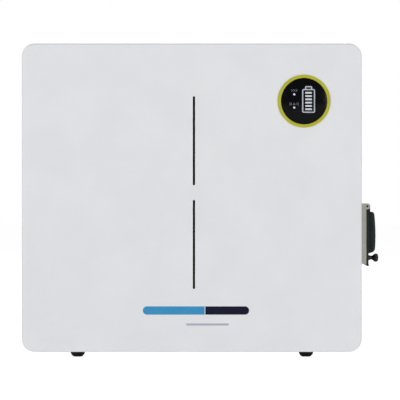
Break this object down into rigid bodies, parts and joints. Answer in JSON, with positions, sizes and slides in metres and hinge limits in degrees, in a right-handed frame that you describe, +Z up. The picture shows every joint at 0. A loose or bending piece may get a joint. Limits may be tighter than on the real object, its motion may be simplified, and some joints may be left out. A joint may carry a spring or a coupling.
{
  "type": "wall battery unit",
  "caption": "Flat steel-cased wall battery with a round charge display, dark accent slots, rubber feet and a flip-covered breaker window on its right side.",
  "frame": {"origin": "centre of the flat rear face of the hanger lip, where it meets the wall", "axes": "+X to the right seen from the front, +Y from the front panel towards the wall, +Z up"},
  "size_m": [0.6286, 0.1857, 0.55],
  "materials": {
    "case_paint": "satin",
    "rubber": "matte",
    "zinc_steel": "satin",
    "olive_ring": "satin",
    "dark_lens": "gloss",
    "light_guide": "satin",
    "circuit_board": "satin",
    "black_plastic": "satin",
    "beige_plastic": "satin",
    "smoked_cover": "gloss",
    "breaker_grey": "satin",
    "red_plastic": "satin",
    "aluminium": "satin",
    "ceramic_white": "satin",
    "cable_orange": "satin",
    "cable_black": "satin",
    "cell_wrap": "satin"
  },
  "bodies": {
    "case": {"rear_housing": "case_paint", "front_cover": "case_paint", "cover_gasket": "rubber", "foot_front_left": "rubber", "foot_front_right": "rubber", "foot_rear_left": "rubber", "foot_rear_right": "rubber", "hanger_bracket": "zinc_steel", "standoff_bracket": "zinc_steel", "display_ring": "olive_ring", "display_lens": "dark_lens", "charge_light_guide": "light_guide", "run_light": "light_guide", "alarm_light": "light_guide", "display_board": "circuit_board", "display_cup": "black_plastic", "upper_slot_insert": "black_plastic", "lower_slot_insert": "black_plastic", "window_frame": "beige_plastic", "lid_seal": "rubber", "hinge_pin": "zinc_steel", "port_panel": "case_paint", "breaker_body": "breaker_grey", "din_rail": "zinc_steel", "data_ports": "black_plastic", "terminal_tray": "black_plastic", "positive_terminal": "red_plastic", "negative_terminal": "black_plastic", "earth_stud": "zinc_steel", "bms_board": "circuit_board", "bms_heat_sink": "aluminium", "main_fuse": "ceramic_white", "end_plate_upper": "aluminium", "end_plate_lower": "aluminium", "strap_left": "zinc_steel", "strap_right": "zinc_steel", "pack_positive_cable": "cable_orange", "pack_negative_cable": "cable_black", "output_cable": "cable_orange", "cell_01": "cell_wrap", "cell_02": "cell_wrap", "cell_03": "cell_wrap", "cell_04": "cell_wrap", "cell_05": "cell_wrap", "cell_06": "cell_wrap", "cell_07": "cell_wrap", "cell_08": "cell_wrap", "cell_09": "cell_wrap", "cell_10": "cell_wrap", "cell_11": "cell_wrap", "cell_12": "cell_wrap", "cell_13": "cell_wrap", "cell_14": "cell_wrap", "cell_15": "cell_wrap", "cell_16": "cell_wrap"},
    "flip_cover": {"flip_cover": "smoked_cover"},
    "screw_carrier": {"screw_retainer": "zinc_steel"},
    "thumb_screw": {"thumb_screw": "black_plastic"},
    "breaker_toggle": {"breaker_toggle": "black_plastic"},
    "power_button": {"power_button": "black_plastic"}
  },
  "joints": [
    {"name": "flip_cover_hinge", "type": "hinge", "parent": "case", "child": "flip_cover", "pos_m": [0.3091, -0.099, -0.1753], "axis": [0, -1, 0], "range_deg": [0, 120]},
    {"name": "screw_travel", "type": "slide", "parent": "flip_cover", "child": "screw_carrier", "axis": [1, 0, 0], "range_m": [0, 0.004]},
    {"name": "thumb_screw_turn", "type": "hinge", "parent": "screw_carrier", "child": "thumb_screw", "pos_m": [0.3091, -0.099, -0.2664], "axis": [1, 0, 0], "range_deg": [0, 1805]},
    {"name": "breaker_toggle_hinge", "type": "hinge", "parent": "case", "child": "breaker_toggle", "pos_m": [0.2925, -0.1185, -0.2205], "axis": [0, 1, 0], "range_deg": [0, 80]},
    {"name": "power_button_press", "type": "slide", "parent": "case", "child": "power_button", "axis": [-1, 0, 0], "range_m": [0, 0.0025], "stiffness_N_per_m": 800}
  ],
  "couplings": [
    {"joint": "thumb_screw_turn", "follows": "screw_travel", "rad_per_m": 7854}
  ]
}
